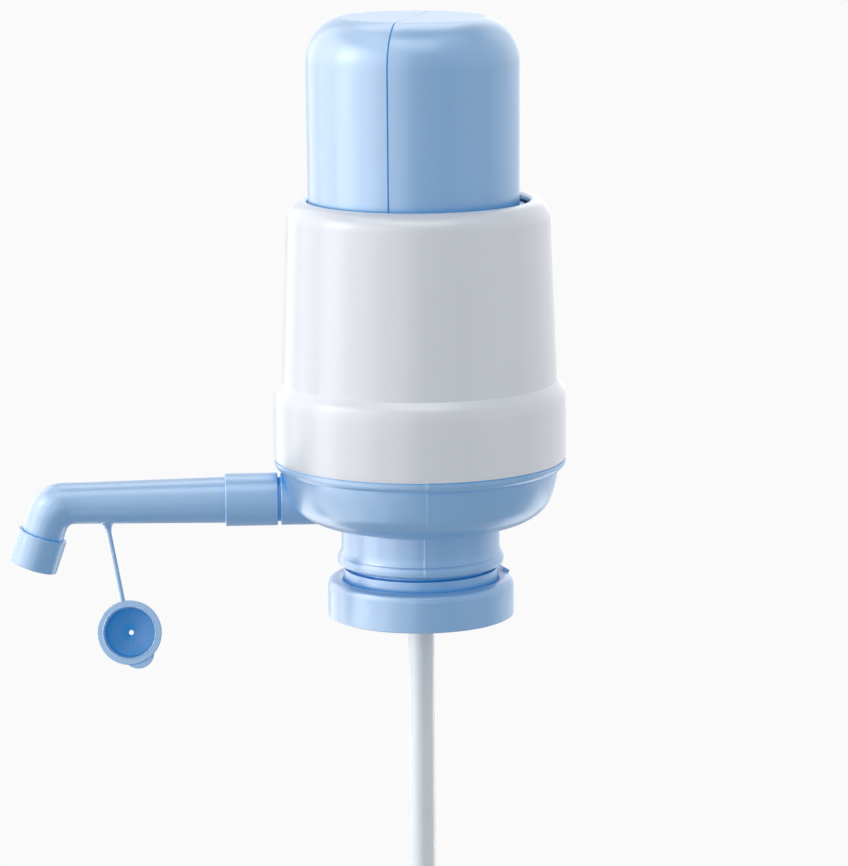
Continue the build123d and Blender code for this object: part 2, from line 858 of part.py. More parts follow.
def inlet_valve_seat():
    """Grommet in the bellows' top with a ring of air holes."""
    under = bellows_top_z - bellows_wall
    seat = turned_polygon(
        (0, seat_under_z),
        (seat_radius, seat_under_z),
        (seat_radius, under),
        (seat_hole_radius, under),
        (seat_hole_radius, seat_top_z),
        (0, seat_top_z),
    )
    hole = rod_z(deck_hole_radius, seat_under_z - 1, seat_top_z + 1, x=deck_hole_circle)
    seat -= around(deck_hole_count, hole)
    return seat - rod_z(valve_stem_radius + 0.1, seat_under_z - 1, seat_top_z + 1)


def inlet_valve_flap():
    """Rubber flap under the inlet seat."""
    return valve_flap(seat_under_z, seat_top_z + valve_lift + 0.05, inlet_knob_height)


# ---------------------------------------------------------------- write the parts

NODES = [
    neck_collar,
    bottle_seal,
    lock_ring,
    base_body,
    spout_o_ring,
    dip_tube_upper,
    dip_tube_middle,
    dip_tube_lower,
    spout_tube,
    nozzle_sleeve,
    dust_cap,
    housing_shell,
    press_cap,
    deck_gasket,
    pump_deck,
    outlet_valve_flap,
    bellows,
    bellows_clamp_ring,
    inlet_valve_seat,
    inlet_valve_flap,
]

os.makedirs("parts", exist_ok=True)
for make in NODES:
    export_step(make(), f"parts/{make.__name__}.step")
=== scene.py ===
import math

import bmesh
import bpy
from mathutils import Matrix, Vector


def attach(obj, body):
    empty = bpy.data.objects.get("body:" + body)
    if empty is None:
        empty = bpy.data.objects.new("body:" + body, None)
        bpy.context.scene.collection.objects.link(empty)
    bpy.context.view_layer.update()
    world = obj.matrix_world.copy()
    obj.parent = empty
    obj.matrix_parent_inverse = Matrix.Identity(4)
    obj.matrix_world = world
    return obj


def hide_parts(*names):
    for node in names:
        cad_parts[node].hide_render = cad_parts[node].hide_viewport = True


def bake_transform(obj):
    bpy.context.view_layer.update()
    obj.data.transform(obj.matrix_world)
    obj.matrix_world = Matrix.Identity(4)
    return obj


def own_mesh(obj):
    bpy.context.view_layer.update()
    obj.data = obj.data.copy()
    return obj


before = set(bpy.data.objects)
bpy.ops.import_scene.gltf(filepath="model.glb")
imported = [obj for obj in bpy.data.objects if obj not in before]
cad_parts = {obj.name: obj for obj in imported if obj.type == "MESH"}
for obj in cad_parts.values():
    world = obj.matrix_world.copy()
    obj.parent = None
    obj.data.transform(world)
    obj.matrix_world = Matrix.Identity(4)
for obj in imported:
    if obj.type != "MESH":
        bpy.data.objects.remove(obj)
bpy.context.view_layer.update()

# ---------------------------------------------------------------- neck collar
# The pale blue collar that holds the pump on the bottle: a band, a spigot that snaps up into
# the base, and eight sprung fingers that grip the bottle's crown. Moulded in one shot of satin
# polypropylene that lets a little light in.


def lengths(*points):
    """Profile corners given as radius, height and an optional rounding, all in millimetres."""
    return [(p[0] / 1000, p[1] / 1000, (p[2] if len(p) > 2 else 0) / 1000) for p in points]


def corners(bm, points, closed=True, segments=4):
    """A line of edges through the points in the XZ plane, its marked corners rounded."""
    verts = [bm.verts.new((r, 0, z)) for r, z, _ in points]
    pairs = list(zip(verts, verts[1:] + verts[:1]))
    for a, b in pairs if closed else pairs[:-1]:
        bm.edges.new((a, b))
    for size in sorted({p[2] for p in points if p[2]}):
        chosen = [v for v, p in zip(verts, points) if p[2] == size]
        bmesh.ops.bevel(
            bm, geom=chosen, offset=size, offset_type="OFFSET", segments=segments, profile=0.5,
            affect="VERTICES", material=-1, clamp_overlap=True,
        )


def spun(bm, turn=360, steps=128, start=0):
    """Turns what the mesh holds about Z; a part turn gets its two ends closed."""
    full = turn == 360
    bmesh.ops.rotate(
        bm, verts=bm.verts[:], cent=(0, 0, 0), matrix=Matrix.Rotation(math.radians(start), 3, "Z")
    )
    bmesh.ops.spin(
        bm, geom=bm.verts[:] + bm.edges[:], cent=(0, 0, 0), axis=(0, 0, 1),
        angle=math.radians(turn), steps=steps, use_merge=full,
    )
    bmesh.ops.remove_doubles(bm, verts=bm.verts[:], dist=1e-6)
    if not full:
        bmesh.ops.holes_fill(bm, edges=[e for e in bm.edges if e.is_boundary], sides=0)
    bmesh.ops.recalc_face_normals(bm, faces=bm.faces[:])


def join_in(bm, other):
    """Adds a finished bmesh to another one."""
    mesh = bpy.data.meshes.new("joined")
    other.to_mesh(mesh)
    other.free()
    bm.from_mesh(mesh)
    bpy.data.meshes.remove(mesh)


def finished(name, bm, material, sharp=35):
    """Makes the object: smooth faces, sharp edges by angle, and normals weighted by area."""
    mesh = bpy.data.meshes.new(name)
    bm.to_mesh(mesh)
    bm.free()
    mesh.shade_smooth()
    mesh.set_sharp_from_angle(angle=math.radians(sharp))
    mesh.materials.append(material)
    obj = bpy.data.objects.new(name, mesh)
    bpy.context.scene.collection.objects.link(obj)
    weighted = obj.modifiers.new("even_shading", "WEIGHTED_NORMAL")
    weighted.keep_sharp = True
    weighted.weight = 90
    return obj


def moulded(
    name, colour, roughness=0.34, cloud=0.03, grain=0.10, specular=0.76, skin_gloss=0.0, milk=0.0,
    painted_shade=None, reach=0.005, shut=0.22, clear=0.80, sheen=(1, 1, 1),
):
    """Moulded plastic: faint flow clouds in the colour, uneven gloss and a fine mould grain.

    Narrow gaps and hollows get painted shade: an ambient occlusion mask darkens the colour there
    towards a deeper blue. reach is how wide a gap counts, and shut and clear are the open shares at
    which the painted shade is full and gone. Sheen tints the gloss, and skin_gloss is the share of
    a smoother skin over it.
    """
    material = bpy.data.materials.new(name)
    material.use_nodes = True
    nodes = material.node_tree.nodes
    links = material.node_tree.links
    shader = nodes["Principled BSDF"]
    place = nodes.new("ShaderNodeTexCoord").outputs["Object"]
    clouds = nodes.new("ShaderNodeTexNoise")
    clouds.inputs["Scale"].default_value = 34
    clouds.inputs["Detail"].default_value = 3
    links.new(place, clouds.inputs["Vector"])
    tint = nodes.new("ShaderNodeMix")
    tint.data_type = "RGBA"
    tint.inputs["A"].default_value = (*[c * (1 - cloud) for c in colour], 1)
    tint.inputs["B"].default_value = (*[min(1, c * (1 + cloud)) for c in colour], 1)
    links.new(clouds.outputs["Fac"], tint.inputs["Factor"])
    # Painted shade: ambient occlusion darkens narrow gaps and hollows towards the deep blue.
    if painted_shade:
        occlusion = nodes.new("ShaderNodeAmbientOcclusion")
        occlusion.samples = 8
        occlusion.inputs["Distance"].default_value = reach
        unshaded_share = nodes.new("ShaderNodeMapRange")
        unshaded_share.inputs["From Min"].default_value = shut
        unshaded_share.inputs["From Max"].default_value = clear
        links.new(occlusion.outputs["AO"], unshaded_share.inputs["Value"])
        painted_shade_mix = nodes.new("ShaderNodeMix")
        painted_shade_mix.data_type = "RGBA"
        painted_shade_mix.inputs["A"].default_value = (*painted_shade, 1)
        links.new(unshaded_share.outputs["Result"], painted_shade_mix.inputs["Factor"])
        links.new(tint.outputs["Result"], painted_shade_mix.inputs["B"])
        links.new(painted_shade_mix.outputs["Result"], shader.inputs["Base Color"])
    else:
        links.new(tint.outputs["Result"], shader.inputs["Base Color"])
    gloss = nodes.new("ShaderNodeMapRange")
    gloss.inputs["To Min"].default_value = roughness - 0.04
    gloss.inputs["To Max"].default_value = roughness + 0.05
    links.new(clouds.outputs["Fac"], gloss.inputs["Value"])
    links.new(gloss.outputs["Result"], shader.inputs["Roughness"])
    fine = nodes.new("ShaderNodeTexNoise")
    fine.inputs["Scale"].default_value = 1800
    fine.inputs["Detail"].default_value = 2
    links.new(place, fine.inputs["Vector"])
    relief = nodes.new("ShaderNodeBump")
    relief.inputs["Strength"].default_value = grain
    relief.inputs["Distance"].default_value = 0.00005
    links.new(fine.outputs["Fac"], relief.inputs["Height"])
    links.new(relief.outputs["Normal"], shader.inputs["Normal"])
    shader.inputs["Specular IOR Level"].default_value = specular
    shader.inputs["Specular Tint"].default_value = (*sheen, 1)
    shader.inputs["Coat Weight"].default_value = skin_gloss
    shader.inputs["Coat Roughness"].default_value = 0.18
    if milk:
        shader.inputs["Subsurface Weight"].default_value = milk
        shader.inputs["Subsurface Radius"].default_value = (0.4, 0.7, 1.0)
        shader.inputs["Subsurface Scale"].default_value = 0.002
    return material


pale_blue = (0.215, 0.444, 0.755)
# Painted shade: the deep blue that gaps and hollows are darkened towards.
painted_shade_blue = (0.001, 0.40, 0.84)
soft_sheen = (1.0, 0.92, 0.82)


def pale_plastic(name, **finish):
    """Pale blue polypropylene of every outer moulding but the housing, with painted shade in gaps.
    """
    return moulded(name, pale_blue, painted_shade=painted_shade_blue, sheen=soft_sheen, skin_gloss=0.18, **finish)


collar_blue = pale_plastic("collar_polypropylene")
finger_count = 8
finger_turn = 41.6
first_finger = 24.2

collar = bmesh.new()
corners(collar, lengths(
    (22.4, 9.3), (22.4, 7.6), (29.2, 7.6), (29.2, 10.85, 0.3), (26.7, 10.85), (26.7, 16.2, 0.35),
    (24.8, 16.2, 0.2), (24.8, 18.9), (25.6, 19.7, 0.2), (25.6, 20.3), (24.8, 21.3),
    (24.4, 24.0, 0.3), (22.4, 24.0, 0.3),
))
spun(collar)
for number in range(finger_count):
    finger = bmesh.new()
    corners(finger, lengths(
        (27.65, 7.6), (27.65, 2.0, 0.2), (27.35, 1.3, 0.2), (27.65, 0.6, 0.2), (29.25, 0.6, 0.2),
        (29.65, 1.0), (29.65, 3.2, 0.2), (29.2, 3.65), (29.2, 7.6),
    ))
    spun(finger, turn=finger_turn, steps=14, start=360 / finger_count * number + first_finger)
    join_in(collar, finger)
collar = finished("neck_collar_moulding", collar, collar_blue)
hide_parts("neck_collar")
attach(collar, "pump_body")

# ---------------------------------------------------------------- lock ring
# Loose sleeve outside the collar. Pushed down it holds the fingers on the crown, and the small
# tab on its shoulder is for the thumb that lifts it. Moulded in the same pale blue.

ring_blue = pale_plastic("lock_ring_polypropylene", reach=0.0022, shut=0.05, clear=0.65)
ring = bmesh.new()
corners(ring, lengths(
    (30.35, -0.4, 0.25), (32.2, -0.4, 0.4), (32.2, 10.2, 0.1), (32.02, 10.4), (31.95, 11.0, 0.4),
    (31.3, 12.2, 0.8), (29.3, 12.85, 0.6), (28.4, 12.75, 0.4), (26.85, 12.05, 0.15),
    (26.85, 10.95), (30.55, 10.95), (30.55, 4.0), (29.95, 3.4), (29.95, 0.0, 0.2),
))
spun(ring)
tab_size = (0.0023, 0.0072, 0.0026)
tab_place = (0.0299, 0, 0.0124)
tab_slope = Matrix.Rotation(math.radians(28), 3, "Y")
tab_bearing = Matrix.Rotation(math.radians(15), 3, "Z")
tab = bmesh.new()
bmesh.ops.create_cube(tab, size=1, matrix=Matrix.Diagonal((*tab_size, 1)))
bmesh.ops.bevel(
    tab, geom=tab.edges[:], offset=0.0004, segments=4, profile=0.5, affect="EDGES", material=-1,
    clamp_overlap=True,
)
bmesh.ops.rotate(tab, verts=tab.verts[:], cent=(0, 0, 0), matrix=tab_slope)
bmesh.ops.translate(tab, verts=tab.verts[:], vec=tab_place)
bmesh.ops.rotate(tab, verts=tab.verts[:], cent=(0, 0, 0), matrix=tab_bearing)
join_in(ring, tab)
ring = finished("lock_ring_sleeve", ring, ring_blue)
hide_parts("lock_ring")
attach(ring, "lock_ring")

# ---------------------------------------------------------------- base moulding
# Neck, bowl and flange in one blue moulding, with the port for the spout on its side. The two
# halves of its mould leave a fine raised seam down the front and the back.

base_blue = pale_plastic("base_polypropylene", reach=0.0022, shut=0.42, clear=0.85)
base = bmesh.new()
corners(base, lengths(
    (26.9, 17.5, 0.15), (28.6, 17.8, 0.8), (28.75, 20.3, 0.9), (28.0, 21.35), (28.08, 21.47),
    (27.6, 22.5, 1.0), (27.35, 23.6, 0.6), (27.35, 31.2, 0.1), (27.52, 31.35, 0.1),
    (27.6, 32.4, 0.5), (31.0, 32.6), (36.8, 32.95, 4.2), (43.9, 37.9, 6.0), (47.3, 45.4, 5.5),
    (47.55, 51.8, 0.15), (49.2, 51.85, 0.2), (50.25, 52.9, 0.8),
    (50.25, 54.75, 0.1), (49.95, 54.75), (49.95, 55.1), (47.9, 55.1), (47.9, 61.0, 0.3),
    (45.7, 61.0, 0.3), (45.7, 54.7), (43.6, 54.7), (43.6, 53.4), (45.1, 51.9),
    (45.1, 46.0, 4.0), (42.3, 39.6, 5.0), (36.0, 35.6, 3.0), (31.0, 35.2),
    (24.9, 35.2, 0.4), (24.9, 21.4), (25.7, 20.4), (25.7, 19.6), (24.9, 18.8), (24.9, 17.5, 0.2),
), segments=6)
spun(base, steps=160)
seam_half_width = 0.00022
seam_height = 0.00012
bore_side = 0.0262
flange_top = 0.0552
seam = [
    e for e in base.edges
    if all(abs(v.co.x) < 1e-6 and v.co.xy.length > bore_side for v in e.verts)
    and max(v.co.z for v in e.verts) < flange_top and e.calc_length() > 1e-5
]
made = bmesh.ops.bevel(
    base, geom=seam, offset=seam_half_width, offset_type="OFFSET", segments=2, profile=0.5,
    affect="EDGES", material=-1,
)
ridge = {v for f in made["faces"] for v in f.verts if abs(v.co.x) < 1e-6}
for vert in ridge:
    vert.co += vert.co.xy.normalized().to_3d() * seam_height


def along_x(bm, z):
    """Lays a turned shape over, its axis pointing to the spout's side at z millimetres."""
    bmesh.ops.rotate(
        bm, verts=bm.verts[:], cent=(0, 0, 0), matrix=Matrix.Rotation(math.radians(-90), 3, "Y")
    )
    bmesh.ops.translate(bm, verts=bm.verts[:], vec=(0, 0, z / 1000))


port_height = 40.65
port = bmesh.new()
corners(port, lengths(
    (5.8, 34.0), (9.0, 34.0), (9.0, 48.3, 0.35), (7.65, 48.3, 0.2), (7.65, 56.9), (6.6, 56.9),
    (6.6, 58.1), (7.65, 58.1), (7.65, 63.5, 0.5), (5.8, 63.5, 0.3),
))
spun(port, steps=96)
along_x(port, port_height)
join_in(base, port)
pipe = bmesh.new()
corners(pipe, lengths((5.8, -6.0), (7.65, -6.0), (7.65, 40.0), (5.8, 40.0)))
spun(pipe, steps=64)
bmesh.ops.holes_fill(pipe, edges=[e for e in pipe.edges if e.is_boundary], sides=0)
along_x(pipe, port_height)
join_in(base, pipe)
riser = bmesh.new()
corners(riser, lengths((4.55, 14.0, 0.2), (6.5, 14.0, 0.3), (6.5, 36.0), (4.55, 36.0)))
spun(riser, steps=64)
join_in(base, riser)
base = finished("base_bowl_moulding", base, base_blue, sharp=30)
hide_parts("base_body")
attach(base, "pump_body")

# ---------------------------------------------------------------- rubber seals
# The ring that the bottle's rim bears on, the ring under the deck and the O-ring that lets the
# spout turn without leaking. Grey food rubber with a dull skin.

seal_grey = moulded(
    "seal_rubber", (0.42, 0.44, 0.46), roughness=0.62, cloud=0.08, grain=0.3, specular=0.35,
)
for node in ("bottle_seal", "deck_gasket", "spout_o_ring"):
    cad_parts[node].data.materials.clear()
    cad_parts[node].data.materials.append(seal_grey)

# ---------------------------------------------------------------- dip tube
# Milky polyethylene tube in three push-fit lengths, down to the bottle's floor. Each lower length
# is belled out to take the one above, and the foot is notched so that it can't suck itself shut.

milky = moulded("dip_tube_polyethylene", (0.74, 0.80, 0.86), roughness=0.30, cloud=0.04, milk=0.5)
tube_top = 32.0
tube_foot = -440.0
drop = tube_top - tube_foot
ends = [tube_top, tube_top - drop / 3, tube_top - 2 * drop / 3, tube_foot]
tube_bore = 3.3
tube_wall = 4.5
notch_height = 6
leg_turn = 50


def tube_length(name, node, top, bottom, bell, notched):
    """One length of tube; bell widens its top for the length above, notched cuts its foot."""
    tube = bmesh.new()
    foot = bottom + notch_height if notched else bottom
    walls = [(tube_bore, foot), (tube_wall, foot, 0 if notched else 0.3)]
    if bell:
        walls += [
            (tube_wall, top - 3), (5.85, top), (5.85, top + 14, 0.3), (4.55, top + 14, 0.3),
            (4.55, top), (tube_bore, top),
        ]
    else:
        walls += [(tube_wall, top, 0.3), (tube_bore, top, 0.3)]
    corners(tube, lengths(*walls))
    spun(tube, steps=72)
    if notched:
        legs = []
        for face in tube.faces:
            middle = face.calc_center_median()
            off_leg = math.degrees(math.atan2(middle.y, middle.x)) % 90 - 45
            if middle.z < foot / 1000 + 1e-5 and abs(off_leg) < leg_turn / 2:
                legs.append(face)
        grown = bmesh.ops.extrude_face_region(tube, geom=legs)["geom"]
        leg_ends = [v for v in grown if isinstance(v, bmesh.types.BMVert)]
        bmesh.ops.delete(tube, geom=legs, context="FACES")
        bmesh.ops.translate(tube, verts=leg_ends, vec=(0, 0, -notch_height / 1000))
    tube = finished(name, tube, milky)
    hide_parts(node)
    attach(tube, "pump_body")


tube_length(
    "dip_tube_top_length", "dip_tube_upper", ends[0], ends[1], bell=False, notched=False,
)
tube_length(
    "dip_tube_mid_length", "dip_tube_middle", ends[1], ends[2], bell=True, notched=False,
)
tube_length(
    "dip_tube_foot_length", "dip_tube_lower", ends[2], ends[3], bell=True, notched=True,
)

# ---------------------------------------------------------------- spout
# Turning spout: a socket over the nipple, an arm that tapers a little, a tight elbow and a
# turned-down outlet, blown and trimmed in the same blue. A stub under the arm roots the strap.

spout_blue = pale_plastic("spout_polypropylene", shut=0.42, clear=0.85)
tilt = math.radians(19)
up = Vector((math.sin(tilt), 0, math.cos(tilt)))
across = Vector((math.cos(tilt), 0, -math.sin(tilt)))
outlet = Vector((-0.1340, 0, 0.01855))
tip_radius = 0.0073
bore_radius = 0.0056


def ring_at(bm, centre, normal, radius, steps=96):
    """A loose ring of edges square to a direction."""
    turn = Vector((0, 0, 1)).rotation_difference(normal).to_matrix().to_4x4()
    twist = (turn.to_3x3() @ Vector((0, 1, 0))).angle(Vector((0, 1, 0)))
    untwist = Matrix.Rotation(twist, 4, "Z") if twist > 1e-6 else Matrix()
    made = bmesh.ops.create_circle(
        bm, cap_ends=False, radius=radius, segments=steps,
        matrix=Matrix.Translation(centre) @ turn @ untwist,
    )
    return list({e for v in made["verts"] for e in v.link_edges})


def skin(bm, stations, steps=96):
    """Bridges rings through (centre, normal, radius) stations."""
    rings = [ring_at(bm, c, n, r, steps) for c, n, r in stations]
    for a, b in zip(rings, rings[1:]):
        bmesh.ops.bridge_loops(bm, edges=a + b)
    return rings


def elbow(outer_radius, inner_radius, count):
    """Stations through the elbow, each ring spanning from its inner to its outer arc."""
    def centre(line, height, radius):
        base_point = line + across * radius
        return base_point + up * ((height - radius - base_point.z) / up.z)

    arm_top = 0.04745
    arm_under = 0.03325
    outer_centre = centre(outlet - across * tip_radius, arm_top, outer_radius)
    inner_centre = centre(outlet + across * tip_radius, arm_under, inner_radius)
    found = []
    for step in range(count + 1):
        angle = math.radians(71) * step / count
        away = Vector((-math.sin(angle), 0, math.cos(angle)))
        outer = outer_centre + away * outer_radius
        inner = inner_centre + away * inner_radius
        span = outer - inner
        normal = Vector((0, 1, 0)).cross(span).normalized()
        found.append(((outer + inner) / 2, normal, span.length / 2))
    return found


arm = bmesh.new()
left = Vector((-1, 0, -0.0059)).normalized()
root = Vector((-0.0672, 0, 0.04065))
arm_stations = [
    (root, left, 0.00795), (Vector((-0.09285, 0, 0.0405)), left, 0.007525),
    (Vector((-0.1155, 0, 0.04036)), left, 0.00714),
]
arm_stations += elbow(outer_radius=0.0124, inner_radius=0.0030, count=14)
arm_stations += [(outlet + up * (0.001 * h), -up, tip_radius) for h in (13.0, 9.0, 2.5)]
bore_stations = [(outlet + up * (0.001 * h), up, bore_radius) for h in (2.5, 15.0)]
bore_stations += [
    (Vector((-0.1262, 0, 0.0386)), (up - left).normalized(), bore_radius),
    (Vector((-0.112, 0, 0.0403)), -left, bore_radius), (root, -left, bore_radius),
]
arm_rings = skin(arm, arm_stations)
bore_rings = skin(arm, bore_stations)
bmesh.ops.bridge_loops(arm, edges=arm_rings[-1] + bore_rings[0])
bmesh.ops.bridge_loops(arm, edges=arm_rings[0] + bore_rings[-1])
bmesh.ops.recalc_face_normals(arm, faces=arm.faces[:])
socket = bmesh.new()
corners(socket, lengths(
    (7.72, 49.3, 0.25), (9.1, 49.3, 0.3), (9.1, 67.4, 0.5), (7.0, 67.4), (7.0, 63.9), (7.72, 63.9),
))
spun(socket, steps=96)
along_x(socket, port_height)
join_in(arm, socket)
stub = bmesh.new()
strap_down = Vector((0.16019, 0.0209, -0.98686)).normalized()
strap_root = Vector((-0.10795, 0, 0.03314))
stub_taper = (
    (-0.0008, 0.0027), (0.0002, 0.00215), (0.0008, 0.0017), (0.0017, 0.0012), (0.0030, 0.00085),
    (0.0044, 0.00072),
)
skin(stub, [(strap_root + strap_down * d, strap_down, r) for d, r in stub_taper], steps=24)
bmesh.ops.holes_fill(stub, edges=[e for e in stub.edges if e.is_boundary], sides=0)
bmesh.ops.recalc_face_normals(stub, faces=stub.faces[:])
join_in(arm, stub)
arm = finished("spout_arm_moulding", arm, spout_blue, sharp=40)
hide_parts("spout_tube")
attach(arm, "spout")

# ---------------------------------------------------------------- nozzle collar
# Short sleeve pressed over the spout's tip, with an inner lip that the tube's end stands on. The
# dust cap pushes on over it. Moulded in the same blue, with a softly rounded edge at each end.

tip_blue = pale_plastic("nozzle_polypropylene")
tip = bmesh.new()
corners(tip, lengths(
    (5.6, 0.0, 0.35), (8.6, 0.0, 0.55), (8.6, 11.75, 0.35), (7.32, 11.75, 0.15), (7.32, 2.5),
    (5.6, 2.5),
))
spun(tip, steps=96)
bmesh.ops.rotate(
    tip, verts=tip.verts[:], cent=(0, 0, 0), matrix=Matrix.Rotation(tilt, 3, "Y")
)
bmesh.ops.translate(tip, verts=tip.verts[:], vec=outlet)
tip = finished("nozzle_collar", tip, tip_blue)
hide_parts("nozzle_sleeve")
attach(tip, "spout")

# ---------------------------------------------------------------- dust cap and strap
# Push-on cap with a flange, a coned floor with a pin-hole vent, and a pull tab behind the flange.
# It hangs from the spout on a thin strap that is part of the same shot of plastic. Its inside
# faces carry painted shade: a less glossy copy of the blue, darkened deeper in its hollow.

cap_blue = pale_plastic("dust_cap_polypropylene", reach=0.0015)
# Painted shade: a darker, less glossy copy of the pale blue for the cup's inside faces.
cap_inside_painted_shade = moulded(
    "dust_cap_inside_painted_shade", pale_blue, specular=0.20, painted_shade=(0.0, 0.42, 0.86), reach=0.012, shut=0.48,
    clear=0.72, sheen=soft_sheen,
)
lean = math.radians(13.3)
swing = math.radians(2.5)
mouth_centre = (-0.1011, -0.0025, -0.0051)
mouth_out = Vector((
    -math.sin(swing) * math.cos(lean), -math.cos(swing) * math.cos(lean), math.sin(lean),
))
mouth_x = Vector((math.cos(swing), -math.sin(swing), 0))
mouth_y = mouth_out.cross(mouth_x)
mouth_turn = Matrix((mouth_x, mouth_y, mouth_out)).transposed()
mouth = Matrix.Translation(mouth_centre) @ mouth_turn.to_4x4()
cup = bmesh.new()
corners(cup, lengths(
    (0.85, -11.2), (9.3, -8.8, 0.8), (9.75, -1.8, 0.3), (10.75, -1.4), (11.15, -1.0, 0.3),
    (11.15, 0.0, 0.35), (9.3, 0.0, 0.1), (9.15, 0.14, 0.1), (8.9, 0.05, 0.1), (8.45, -0.6, 0.2),
    (8.2, -7.8, 0.25), (0.85, -10.2),
))
spun(cup, steps=96)
pull_turn = math.radians(-67)
pull_centre = Vector((math.cos(pull_turn), math.sin(pull_turn), 0)) * 0.0075
pull_thickness = 0.0016
pull_back = 0.0026
round_end = (pull_centre, 0.00555, 85.15, 32)
along_flange = (Vector(), 0.0097, 34.8, 14)
pull = bmesh.new()
for centre, radius, half_turn, steps in (round_end, along_flange):
    start = pull_turn - math.radians(half_turn)
    end = pull.verts.new(centre + Vector((math.cos(start), math.sin(start), 0)) * radius)
    bmesh.ops.spin(
        pull, geom=[end], cent=centre, axis=(0, 0, 1), angle=math.radians(2 * half_turn),
        steps=steps, use_merge=False,
    )
bmesh.ops.remove_doubles(pull, verts=pull.verts[:], dist=2e-5)
bmesh.ops.contextual_create(pull, geom=pull.edges[:])
made = bmesh.ops.extrude_face_region(pull, geom=pull.faces[:])
front = [v for v in made["geom"] if isinstance(v, bmesh.types.BMVert)]
bmesh.ops.translate(pull, verts=front, vec=(0, 0, pull_thickness))
bmesh.ops.translate(pull, verts=pull.verts[:], vec=(0, 0, -pull_back))
bmesh.ops.recalc_face_normals(pull, faces=pull.faces[:])
bmesh.ops.bevel(
    pull, geom=[e for e in pull.edges if abs(e.verts[0].co.z - e.verts[1].co.z) < 1e-7],
    offset=0.0003, segments=3, profile=0.5, affect="EDGES", material=-1,
)
join_in(cup, pull)
cup.faces.ensure_lookup_table()
cup.faces.index_update()
mouth_radius = 0.0087
inside_faces = [
    f.index for f in cup.faces
    if f.calc_center_median().xy.length < mouth_radius
    and f.calc_center_median().z < -0.0002 and f.normal.z > -0.2
]
cup.transform(mouth)
cup = finished("dust_cap_cup", cup, cap_blue)
# The inside faces take the painted-shade copy of the blue.
cup.data.materials.append(cap_inside_painted_shade)
for index in inside_faces:
    cup.data.polygons[index].material_index = 1
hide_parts("dust_cap")
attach(cup, "dust_cap")

hold_radius = 0.0106
hold_turn = math.radians(101.6)
strap_end = mouth @ Vector((
    hold_radius * math.cos(hold_turn), hold_radius * math.sin(hold_turn), -0.0008,
))
strap_line = strap_end - strap_root
strap_dir = strap_line.normalized()
strap_start = 0.0036
strap_steps = 32
strap_stations = []
for step in range(strap_steps + 1):
    share = step / strap_steps
    distance = strap_start + (strap_line.length - strap_start) * share
    radius = 0.00072 + 0.00008 * share
    strap_stations.append((strap_root + strap_dir * distance, strap_dir, radius))
strap = bmesh.new()
skin(strap, strap_stations, steps=16)
bmesh.ops.holes_fill(strap, edges=[e for e in strap.edges if e.is_boundary], sides=0)
bmesh.ops.recalc_face_normals(strap, faces=strap.faces[:])
strap = finished("dust_cap_strap", strap, cap_blue, sharp=60)
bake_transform(strap)

# ---------------------------------------------------------------- deck, valves and bellows
# Inside the housing: a deck plate across the bowl with a rubber flap under it, the blown milky
# bellows whose cuff a ring clamps to the deck, and a second flap in a grommet in the bellows' top.

deck_white = moulded("deck_plastic", (0.72, 0.74, 0.77), roughness=0.42)
for node in ("pump_deck", "bellows_clamp_ring", "inlet_valve_seat"):
    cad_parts[node].data.materials.clear()
    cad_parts[node].data.materials.append(deck_white)
flap_rubber = moulded(
    "valve_rubber", (0.62, 0.65, 0.68), roughness=0.5, cloud=0.06, grain=0.2, milk=0.3,
)
for node in ("inlet_valve_flap", "outlet_valve_flap"):
    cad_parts[node].data.materials.clear()
    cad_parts[node].data.materials.append(flap_rubber)

bellows_milky = moulded(
    "bellows_polyethylene", (0.70, 0.76, 0.80), roughness=0.4, cloud=0.06, milk=0.4,
)
folds = 8
first_fold = 66.5
pitch = (201.8 - 3.2 - first_fold) / folds
crests = [(32.3, 31.1)] * (folds - 1) + [(31.0, 29.8)]
outside = [(31.2, 58.2), (31.2, 65.0, 0.4)]
for fold in range(folds):
    low = first_fold + pitch * fold
    outside += [(28.1, low, 0.7), (crests[fold][0], low + pitch / 2, 0.7)]
outside += [(28.1, 198.6, 0.7), (26.0, 201.8, 0.5), (13.5, 201.8)]
inside = [(13.5, 200.6), (24.8, 200.6, 0.4)]
for fold in reversed(range(folds)):
    low = first_fold + pitch * fold
    inside += [(26.9, low + pitch, 0.5), (crests[fold][1], low + pitch / 2, 0.5)]
inside += [(26.9, first_fold, 0.5), (30.0, 65.0, 0.4), (30.0, 58.2)]
bellows = bmesh.new()
corners(bellows, lengths(*outside, *inside), segments=3)
spun(bellows, steps=96)
bellows = finished("bellows_blown", bellows, bellows_milky, sharp=70)
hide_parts("bellows")
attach(bellows, "pump_body")
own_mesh(bellows)

# ---------------------------------------------------------------- housing
# White shell that snaps onto the base: a straight skirt, a rounded shoulder up to a fine crease, a
# slightly tapered tower and a rolled lip that keeps the press cap in. Smooth moulded ABS.

shell_white = moulded(
    "housing_abs", (0.745, 0.775, 0.835), roughness=0.32, cloud=0.012, grain=0.06, specular=0.42,
    skin_gloss=0.15,
)
shell = bmesh.new()
corners(shell, lengths(
    (50.3, 55.1, 0.2), (50.45, 57.0), (50.45, 71.0), (50.2, 76.8, 2.2), (49.4, 79.2, 1.6),
    (48.1, 80.9, 1.3), (47.4, 81.9),
    (45.2, 137.0), (44.95, 143.6, 5.6), (38.0, 144.2, 1.2), (38.0, 141.8, 0.5), (39.2, 141.8),
    (42.7, 141.8, 2.6), (42.7, 138.3), (45.0, 81.9), (48.0, 74.8), (48.0, 55.1, 0.2),
), segments=10)
spun(shell, steps=160)
shell = finished("housing_shell_white", shell, shell_white, sharp=25)
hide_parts("housing_shell")
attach(shell, "pump_body")

# ---------------------------------------------------------------- press cap
# The blue button that the palm pushes down. It floats a little off centre on its bellows. Its mould
# parts in a plane left of the front, which leaves a fine groove up the side and over the top.

